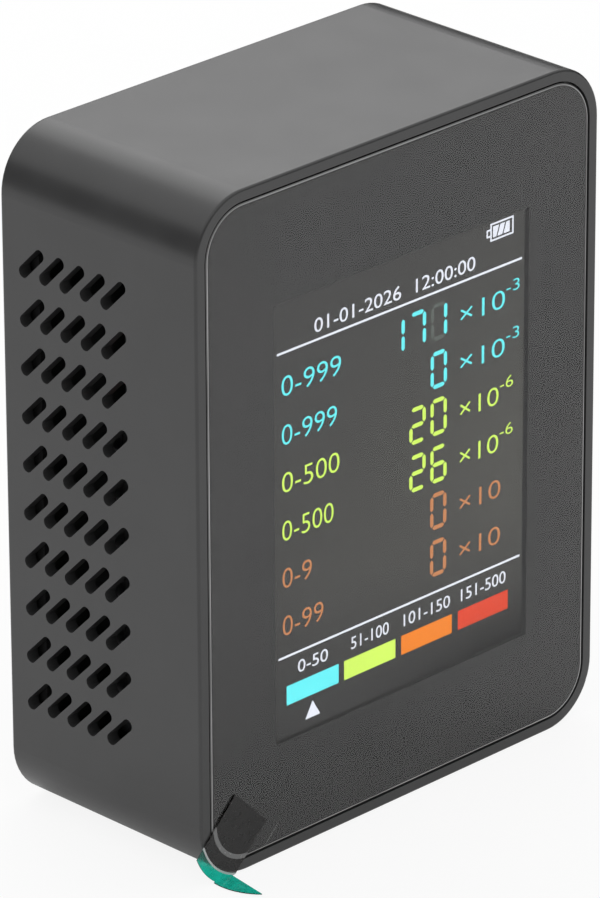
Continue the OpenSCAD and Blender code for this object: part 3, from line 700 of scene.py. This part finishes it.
def rounded_plate(bm, low, high, radius=0):
    """A face across X and Z between two corners, rounded by a radius, at the first corner's Y."""
    known = set(bm.faces)
    corners = ((low.x, low.z), (high.x, low.z), (high.x, high.z), (low.x, high.z))
    verts = [bm.verts.new((x, low.y, z)) for x, z in corners]
    bm.faces.new(verts)
    if radius > 0:
        bmesh.ops.bevel(
            bm,
            geom=verts,
            offset=radius,
            offset_type="OFFSET",
            affect="VERTICES",
            segments=CORNER_STEPS,
            profile=0.5,
            material=-1,
        )
    return next(face for face in bm.faces if face not in known)


def rounded_loop(bm, low, high, depth, radius=0):
    """The edges of a rounded plate at a depth in Y, without its face."""
    face = rounded_plate(bm, Vector((low.x, depth, low.z)), high, radius)
    edges = face.edges[:]
    bmesh.ops.delete(bm, geom=[face], context="FACES_ONLY")
    return edges


def thicken(bm, faces, depth):
    """Pushes faces out along Y into a closed plate."""
    made = bmesh.ops.extrude_face_region(bm, geom=faces, use_keep_orig=True)
    verts = [v for v in made["geom"] if isinstance(v, bmesh.types.BMVert)]
    bmesh.ops.translate(bm, verts=verts, vec=(0, depth, 0))


class Sketch:
    """A drawing on the display's face, in millimetres across and down the picture, in one ink."""

    def __init__(self, corner, thick):
        self.bm = bmesh.new()
        self.corner = corner
        self.thick = thick

    def spot(self, across, down):
        """A point of the picture in the shared frame."""
        return self.corner + Vector((across * MM, 0, -down * MM))

    def plate(self, *outline):
        """A flat shape with this outline."""
        face = self.bm.faces.new([self.bm.verts.new(self.spot(*point)) for point in outline])
        thicken(self.bm, [face], -self.thick)

    def bar(self, left, top, right, bottom):
        """A filled box."""
        self.plate((left, top), (right, top), (right, bottom), (left, bottom))

    def outline(self, left, top, right, bottom, line):
        """A box drawn with a line."""
        edges = []
        for inset in (0, line):
            low = self.spot(left + inset, bottom - inset)
            edges += rounded_loop(self.bm, low, self.spot(right - inset, top + inset), low.y)
        made = bmesh.ops.triangle_fill(self.bm, use_beauty=True, edges=edges)["geom"]
        faces = [part for part in made if isinstance(part, bmesh.types.BMFace)]
        thicken(self.bm, faces, -self.thick)

    def stroke(self, start, end, wide):
        """A stroke with pointed ends, straight across or down."""
        along = Vector(end) - Vector(start)
        along.normalize()
        half = wide / 2
        side = Vector((-along.y, along.x)) * half
        first = Vector(start) + along * STROKE_GAP
        last = Vector(end) - along * STROKE_GAP
        points = (first, first + along * half + side, last - along * half + side)
        back = (last, last - along * half - side, first + along * half - side)
        self.plate(*points, *back)

    def figure(self, strokes, right, middle):
        """A seven-stroke figure with some of its strokes."""
        for name in strokes:
            ends = [
                (
                    right - STROKE / 2 - (1 - across) * (DIGIT_WIDE - STROKE),
                    middle + (down - 0.5) * (DIGIT_TALL - STROKE),
                )
                for across, down in STROKES[name]
            ]
            self.stroke(ends[0], ends[1], STROKE)

    def text(self, body, left, top, right, bottom, thinned=0.0):
        """Plain figures, fitted to a box, with their edges drawn in by a share of the type size."""
        curve = bpy.data.curves.new("figures", "FONT")
        curve.body = body
        curve.offset = -thinned
        holder = bpy.data.objects.new("figures", curve)
        bpy.context.scene.collection.objects.link(holder)
        bpy.context.view_layer.update()
        graph = bpy.context.evaluated_depsgraph_get()
        mesh = bpy.data.meshes.new_from_object(holder.evaluated_get(graph))
        across = [vert.co.x for vert in mesh.vertices]
        along = [vert.co.y for vert in mesh.vertices]
        wide = (right - left) * MM / (max(across) - min(across))
        tall = (bottom - top) * MM / (max(along) - min(along))
        turn = Matrix(((wide, 0, 0, 0), (0, 0, 1, 0), (0, tall, 0, 0), (0, 0, 0, 1)))
        start = Matrix.Translation((-min(across), -min(along), 0))
        mesh.transform(Matrix.Translation(self.spot(left, bottom)) @ turn @ start)
        glyphs = bmesh.new()
        glyphs.from_mesh(mesh)
        bmesh.ops.remove_doubles(glyphs, verts=glyphs.verts, dist=1e-8)
        thicken(glyphs, glyphs.faces[:], -self.thick)
        glyphs.to_mesh(mesh)
        glyphs.free()
        self.bm.from_mesh(mesh)
        bpy.data.objects.remove(holder)
        bpy.data.curves.remove(curve)
        bpy.data.meshes.remove(mesh)


def picture_middle(look):
    """Middle of the picture, on the display's front face."""
    low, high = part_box("display_glass")
    return Vector(((low.x + high.x) / 2, low.y, (low.z + high.z) / 2 + look.rise))


class MONITOR_OT_case(bpy.types.Operator):
    """Finish the case, its rear cover and its button"""

    bl_idname = "monitor.case"
    bl_label = "Case"

    def execute(self, context):
        look = context.scene.monitor_case
        grain, spread = look.grain, look.dust_spread
        case = moulded_plastic("case_plastic", look.plastic, look.roughness, grain, spread)
        button = moulded_plastic("button_plastic", look.plastic, 0.35, 0.7 * grain, 2 * spread)
        dress(case, "housing", "rear_cover")
        dress(button, "power_button")
        dress(nylon("plunger_nylon", (0.75, 0.74, 0.7)), "switch_plunger")
        dress(drawn_metal("screw_steel", (0.5, 0.5, 0.51), 0.3), "cover_screws", "board_screws")
        return {"FINISHED"}


class MONITOR_OT_lens(bpy.types.Operator):
    """Make the lens from a printed border with a ground edge, a painted highlight along it and a
    smoked window
    """

    bl_idname = "monitor.lens"
    bl_label = "Lens"

    def execute(self, context):
        look = context.scene.monitor_lens
        picture = context.scene.monitor_picture
        low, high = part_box("front_lens")
        middle = picture_middle(picture)
        half = Vector((picture.width / 2, 0, picture.height / 2))
        start = middle - half - Vector((look.window_left, 0, 0))
        border = mesh_piece(
            "lens_border",
            self.draw_border(look, low, high, start, middle + half),
            backed_lens("lens_border", look.ink),
            "case",
        )
        border.data.materials.append(ground_edge("lens_edge", look.edge))
        # The pale finish on the margin band is a painted highlight of the lens's edge
        border.data.materials.append(ground_edge("lens_margin", look.margin_highlight))
        bm = bmesh.new()
        start.y = low.y
        front = rounded_plate(bm, start, middle + half)
        thicken(bm, [front], look.window)
        for face in bm.faces:
            face.material_index = 0 if face is front else 1
        smoked = smoked_window("lens_window", look.smoke)
        window = mesh_piece("lens_window", bm, smoked, "case")
        window.data.materials.append(unseen("lens_window_back"))
        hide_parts("front_lens")
        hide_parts("front_lens")
        dress(foam("border_tape", (0.02, 0.02, 0.02)), "lens_adhesive")
        return {"FINISHED"}

    def draw_ring(self, bm, look, low, high, inset, depth):
        """The lens's outline, drawn in by an inset, at a depth."""
        step = Vector((inset, 0, inset))
        return rounded_loop(bm, low + step, high - step, depth, look.corner_radius - inset)

    def draw_border(self, look, low, high, window_low, window_high):
        """The slab of the lens, round a window that is wider at the back."""
        bm = bmesh.new()
        flare = Vector((look.flare, 0, look.flare))
        back = self.draw_ring(bm, look, low, high, 0, high.y)
        side = self.draw_ring(bm, look, low, high, 0, low.y + look.bevel)
        front = self.draw_ring(bm, look, low, high, look.bevel, low.y)
        print_edge = self.draw_ring(bm, look, low, high, look.bevel + look.margin, low.y)
        mouth = rounded_loop(bm, window_low, window_high, low.y)
        throat = rounded_loop(bm, window_low - flare, window_high + flare, high.y)
        bmesh.ops.bridge_loops(bm, edges=back + side)
        for face in bmesh.ops.bridge_loops(bm, edges=side + front)["faces"]:
            face.material_index = 1
        # The margin band, which wears the painted highlight
        for part in bmesh.ops.triangle_fill(bm, use_beauty=True, edges=front + print_edge)["geom"]:
            if isinstance(part, bmesh.types.BMFace):
                part.material_index = 2
        bmesh.ops.triangle_fill(bm, use_beauty=True, edges=print_edge + mouth)
        bmesh.ops.bridge_loops(bm, edges=mouth + throat)
        bmesh.ops.triangle_fill(bm, use_beauty=True, edges=throat + back)
        return bm


class MONITOR_OT_picture(bpy.types.Operator):
    """Light the display and draw the picture"""

    bl_idname = "monitor.picture"
    bl_label = "Picture"

    def execute(self, context):
        look = context.scene.monitor_picture
        middle = picture_middle(look)
        gain = 1 / (1 - context.scene.monitor_lens.smoke)
        dress(black_resin("display_black"), "display_glass")
        corner = middle + Vector((-look.width / 2, -look.lift, look.height / 2))
        panel = Sketch(corner + Vector((0, 2 * look.thick, 0)), look.thick)
        panel.bar(0, 0, look.width / MM, look.height / MM)
        dark = dark_panel("picture_dark", look, middle, gain)
        mesh_piece("picture_dark", panel.bm, dark, "case")
        sheets = {ink: Sketch(corner, look.thick) for ink in INKS}
        self.draw_top(sheets["white"], look.header)
        self.draw_rows(sheets)
        self.draw_scale(sheets)
        for ink, sheet in sheets.items():
            material = lit_ink("lit_" + ink, getattr(look, ink), gain)
            mesh_piece("picture_" + ink, sheet.bm, material, "case")
        return {"FINISHED"}

    def draw_top(self, sheet, header):
        """Battery sign, top line of figures and the two rules."""
        self.draw_nub(sheet, *BATTERY_NUB)
        left, top, right, bottom = BATTERY_BOX
        sheet.outline(left, top, right, bottom, BATTERY_LINE)
        inset = 2 * BATTERY_LINE
        step = (right - left - 2 * inset) / BATTERY_BARS
        for index in range(BATTERY_BARS):
            start = left + inset + index * step
            end = start + step - BATTERY_LINE
            first = start if index == 0 else start + BATTERY_SLANT / 2
            foot = start if index == 0 else start - BATTERY_SLANT / 2
            head = end + BATTERY_SLANT / 2 if index < BATTERY_BARS - 1 else end
            heel = end - BATTERY_SLANT / 2 if index < BATTERY_BARS - 1 else end
            upper = ((first, top + inset), (head, top + inset))
            lower = ((heel, bottom - inset), (foot, bottom - inset))
            sheet.plate(*upper, *lower)
        sheet.text(header, *HEADER_SPOT)
        for down in RULE_DOWNS:
            sheet.bar(RULE_ENDS[0], down - RULE_THICK / 2, RULE_ENDS[1], down + RULE_THICK / 2)

    def draw_nub(self, sheet, left, top, right, bottom):
        """The battery sign's nub, open towards the battery."""
        inner = left + BATTERY_LINE
        under = top + BATTERY_LINE
        over = bottom - BATTERY_LINE
        upper = ((inner, under), (right, under), (right, top), (left, top))
        lower = ((left, bottom), (right, bottom), (right, over), (inner, over))
        sheet.plate(*upper, *lower)

    def draw_rows(self, sheets):
        """Six rows, each with a range, a reading and a factor."""
        for ink, middle, label, label_right, reading, factor, power, right in ROWS:
            sheet = sheets[ink]
            self.draw_word(sheet, label, LABEL_LEFT, label_right, middle, LABEL_TALL)
            level = middle - DIGIT_RISE
            for place, digit in enumerate(reversed(reading)):
                sheet.figure(FIGURES[digit], DIGIT_RIGHT - place * DIGIT_PITCH, level)
            power_left = right - POWER_WIDE
            factor_right = power_left - POWER_GAP if power else right
            self.draw_word(sheet, factor, UNIT_LEFT, factor_right, middle, UNIT_TALL)
            if power:
                top = middle - UNIT_TALL / 2 - POWER_RISE
                sheet.text(power, power_left, top, right, top + POWER_TALL, ROW_THINNED)
        sheets["ghost"].figure(GHOST, DIGIT_RIGHT, ROWS[0][1] - DIGIT_RISE)

    def draw_word(self, sheet, body, left, right, middle, tall):
        """Thin figures about a middle line."""
        sheet.text(body, left, middle - tall / 2, right, middle + tall / 2, ROW_THINNED)

    def draw_scale(self, sheets):
        """Four bars with their captions, and the pointer."""
        for ink, left, caption, middle, wide in SCALE:
            sheets[ink].bar(left, BAR_TOP, left + BAR_WIDE, BAR_TOP + BAR_TALL)
            top = CAPTION_DOWN - CAPTION_TALL
            sheets["white"].text(caption, middle - wide / 2, top, middle + wide / 2, CAPTION_DOWN)
        sheets["white"].plate(*POINTER)


class MONITOR_OT_film(bpy.types.Operator):
    """Lay the clear film and its pull tab over the lens"""

    bl_idname = "monitor.film"
    bl_label = "Film"

    def execute(self, context):
        look = context.scene.monitor_lens
        low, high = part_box("screen_film")
        inset = low.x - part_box("front_lens")[0].x
        bm = bmesh.new()
        face = rounded_plate(bm, low, high, look.corner_radius - inset)
        thicken(bm, [face], high.y - low.y - look.film_lift)
        clear = clear_film("film_clear", look.film_haze)
        film = mesh_piece("clear_film", bm, clear, "case")
        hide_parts("screen_film")
        case_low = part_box("housing")[0]
        corner = Vector((case_low.x + look.case_radius, 0, case_low.z + look.case_radius))
        # Bands of painted highlight on the tab, at the lens's edge and at the case's edge
        lens_highlight_start = look.corner_radius - LENS_HIGHLIGHT_INSETS * inset
        highlight_bands = (
            (lens_highlight_start, look.corner_radius, LENS_HIGHLIGHT_SHARE),
            (look.case_radius, look.case_radius + CASE_HIGHLIGHT_WIDE, CASE_HIGHLIGHT_SHARE),
        )
        tint = tinted_film("tab_tint", look.tab, look.tab_glue, corner, highlight_bands)
        dress(tint, "film_pull_tab")
        return {"FINISHED"}


class MONITOR_OT_inside(bpy.types.Operator):
    """Finish the boards, sensors, battery and wires inside"""

    bl_idname = "monitor.inside"
    bl_label = "Inside"

    def execute(self, context):
        dress(
            nylon("white_nylon", (0.78, 0.77, 0.72)),
            "display_backlight",
            "ribbon_connector",
            "sensor_header",
            "battery_header",
            "battery_plug",
            "formaldehyde_sensor",
            "co2_filter",
        )
        dress(foam("pad_foam", (0.03, 0.03, 0.03)), "display_foam")
        dress(foam("pale_tape", (0.7, 0.69, 0.64)), "battery_tape", "dust_sensor_tape")
        dress(ribbon("amber_ribbon"), "display_ribbon")
        dress(circuit_board("green_board"), "main_board", "dust_sensor_board")
        dress(
            black_resin("black_resin"),
            "board_chips",
            "usb_tongue",
            "power_switch",
            "dust_sensor_base",
            "fan_frame",
            "fan_rotor",
        )
        dress(
            drawn_metal("pressed_steel", (0.58, 0.58, 0.6), 0.32),
            "usb_socket",
            "dust_sensor_lid",
            "fan_shaft",
            "co_sensor",
            "tvoc_sensor",
        )
        dress(drawn_metal("turned_brass", (0.72, 0.52, 0.22), 0.28), "laser_diode")
        dress(drawn_metal("gold_plate", (0.85, 0.62, 0.28), 0.25), "co2_sensor")
        dress(pouch_foil("pouch_foil"), "battery")
        red = wire_skin("red_skin", (0.5, 0.02, 0.015))
        black = wire_skin("black_skin", (0.02, 0.02, 0.02))
        smooth_copy("sensor_cable", red, "case")
        smooth_copy("battery_lead_red", red, "case")
        smooth_copy("battery_lead_black", black, "case")
        return {"FINISHED"}


class MONITOR_OT_stage(bpy.types.Operator):
    """Set the camera, floor and light"""

    bl_idname = "monitor.stage"
    bl_label = "Stage"

    def execute(self, context):
        scene = context.scene
        look = scene.monitor_stage
        scene.view_settings.view_transform = "Standard"
        self.add_camera(scene, look)
        self.add_floor(scene, look)
        self.add_sky(scene, look)
        self.add_cards(scene, look)
        self.add_softbox(scene, look)
        return {"FINISHED"}

    def add_camera(self, scene, look):
        """The camera that was fitted to the photo."""
        data = bpy.data.cameras.new("photo_camera")
        data.lens = look.focal_length
        data.sensor_width = FILM_WIDTH
        data.clip_end = 100
        flat = math.cos(look.elevation)
        ahead = Vector((
            math.sin(look.azimuth) * flat,
            math.cos(look.azimuth) * flat,
            -math.sin(look.elevation),
        ))
        camera = bpy.data.objects.new("photo_camera", data)
        turn = ahead.to_track_quat("-Z", "Y").to_matrix().to_4x4()
        roll = Matrix.Rotation(look.roll, 4, "Z")
        place = Matrix.Translation(Vector(look.aim) - ahead * look.distance)
        camera.matrix_world = place @ turn @ roll
        scene.collection.objects.link(camera)
        scene.camera = camera

    def white_rays(self, paint, mirrored):
        """1 for rays that see the background straight or through glass, less for mirrored ones."""
        seen, glossy, through = (
            paint.node("ShaderNodeLightPath", output=name)
            for name in ("Is Camera Ray", "Is Glossy Ray", "Is Transmission Ray")
        )
        return seen.maths("MAXIMUM", seen.maths("MAXIMUM", seen, glossy * mirrored), through)

    def set_up(self, scene, name, bm, paint):
        """Stand a mesh on the stage, under a paint."""
        mesh = bpy.data.meshes.new(name)
        bm.to_mesh(mesh)
        bm.free()
        mesh.materials.append(paint.owner)
        item = bpy.data.objects.new(name, mesh)
        scene.collection.objects.link(item)
        return item

    def matt(self, paint, low, high):
        """Matt grey between two tones, in place of the material's own shader."""
        paint.tree.nodes.clear()
        tone = paint.mix(paint.clouds(STAGE_MOTTLE, 3.0), (low,) * 3, (high,) * 3)
        return paint.node("ShaderNodeBsdfDiffuse", inputs={"Color": tone})

    def add_floor(self, scene, look):
        """A pale floor that shows as white, and keeps a little of the shadow."""
        bm = bmesh.new()
        bmesh.ops.create_grid(bm, x_segments=1, y_segments=1, size=look.floor_size / 2)
        paint = new_paint("floor_white")
        matt = self.matt(paint, *FLOOR_TONES)
        bright = paint.node("ShaderNodeEmission", inputs={"Color": (1, 1, 1, 1), "Strength": 1.0})
        share = self.white_rays(paint, look.floor_mirrored) * look.floor_white
        both = paint.node("ShaderNodeMixShader", inputs={0: share, 1: matt, 2: bright})
        paint.end("ShaderNodeOutputMaterial", both)
        self.set_up(scene, "floor", bm, paint)

    def add_cards(self, scene, look):
        """A ring of dark cards that only reflections meet. They draw a line on the rolled edges."""
        bm = bmesh.new()
        bmesh.ops.create_cone(
            bm,
            segments=CARD_COUNT,
            radius1=look.cards_radius,
            radius2=look.cards_radius,
            depth=look.cards_height,
        )
        bmesh.ops.translate(bm, verts=bm.verts, vec=(0, 0, look.cards_height / 2))
        lamp = Vector(look.softbox_place).to_2d().normalized()
        for vert in bm.verts:
            facing = vert.co.to_2d().dot(lamp) / look.cards_radius
            vert.co.z *= 1.0 - look.cards_drop * facing
        paint = new_paint("card_black")
        paint.end("ShaderNodeOutputMaterial", self.matt(paint, *CARD_TONES))
        cards = self.set_up(scene, "dark_cards", bm, paint)
        cards.visible_camera = cards.visible_diffuse = False
        cards.visible_transmission = cards.visible_shadow = False

    def add_sky(self, scene, look):
        """Even light from all round, which shows as white."""
        scene.world = bpy.data.worlds.new("white_sky")
        paint = Paint(scene.world)
        paint.tree.nodes.clear()
        strength = look.sky + self.white_rays(paint, 1.0) * (1.0 - look.sky)
        sockets = {"Color": (1, 1, 1, 1), "Strength": strength}
        paint.end("ShaderNodeOutputWorld", paint.node("ShaderNodeBackground", inputs=sockets))

    def add_softbox(self, scene, look):
        """One large soft lamp, aimed at the monitor."""
        data = bpy.data.lights.new("softbox", "AREA")
        data.energy = look.softbox_power
        data.shape = "SQUARE"
        data.size = look.softbox_size
        lamp = bpy.data.objects.new("softbox", data)
        place = Vector(look.softbox_place)
        turn = (Vector(look.aim) - place).to_track_quat("-Z", "Y").to_matrix().to_4x4()
        lamp.matrix_world = Matrix.Translation(place) @ turn
        scene.collection.objects.link(lamp)


class MONITOR_PT_looks(bpy.types.Panel):
    """Sizes, colours and steps of the monitor's looks"""

    bl_idname = "MONITOR_PT_looks"
    bl_label = "Air quality monitor"
    bl_space_type = "VIEW_3D"
    bl_region_type = "UI"
    bl_category = "Monitor"

    def draw(self, context):
        """A box of settings for each look, then a button for each step."""
        for place, look in LOOKS.items():
            box = self.layout.box()
            box.label(text=look.__doc__)
            for prop in look.__annotations__:
                box.prop(getattr(context.scene, place), prop)
        for step in STEPS:
            self.layout.operator(step.bl_idname)


LOOKS = {
    "monitor_case": MonitorCaseLook,
    "monitor_lens": MonitorLensLook,
    "monitor_picture": MonitorPictureLook,
    "monitor_stage": MonitorStageLook,
}
STEPS = (
    MONITOR_OT_stage,
    MONITOR_OT_case,
    MONITOR_OT_lens,
    MONITOR_OT_picture,
    MONITOR_OT_film,
    MONITOR_OT_inside,
)


def register():
    """Registers the looks, the steps and the panel."""
    for place, look in LOOKS.items():
        bpy.utils.register_class(look)
        setattr(bpy.types.Scene, place, PointerProperty(type=look))
    for step in STEPS:
        bpy.utils.register_class(step)
    bpy.utils.register_class(MONITOR_PT_looks)


def unregister():
    """Takes back what register() did."""
    bpy.utils.unregister_class(MONITOR_PT_looks)
    for step in reversed(STEPS):
        bpy.utils.unregister_class(step)
    for place, look in LOOKS.items():
        delattr(bpy.types.Scene, place)
        bpy.utils.unregister_class(look)


def main():
    """Builds the monitor step by step."""
    register()
    bpy.ops.monitor.stage()
    bpy.ops.monitor.case()
    bpy.ops.monitor.lens()
    bpy.ops.monitor.picture()
    bpy.ops.monitor.film()
    bpy.ops.monitor.inside()


if __name__ == "__main__":
    main()
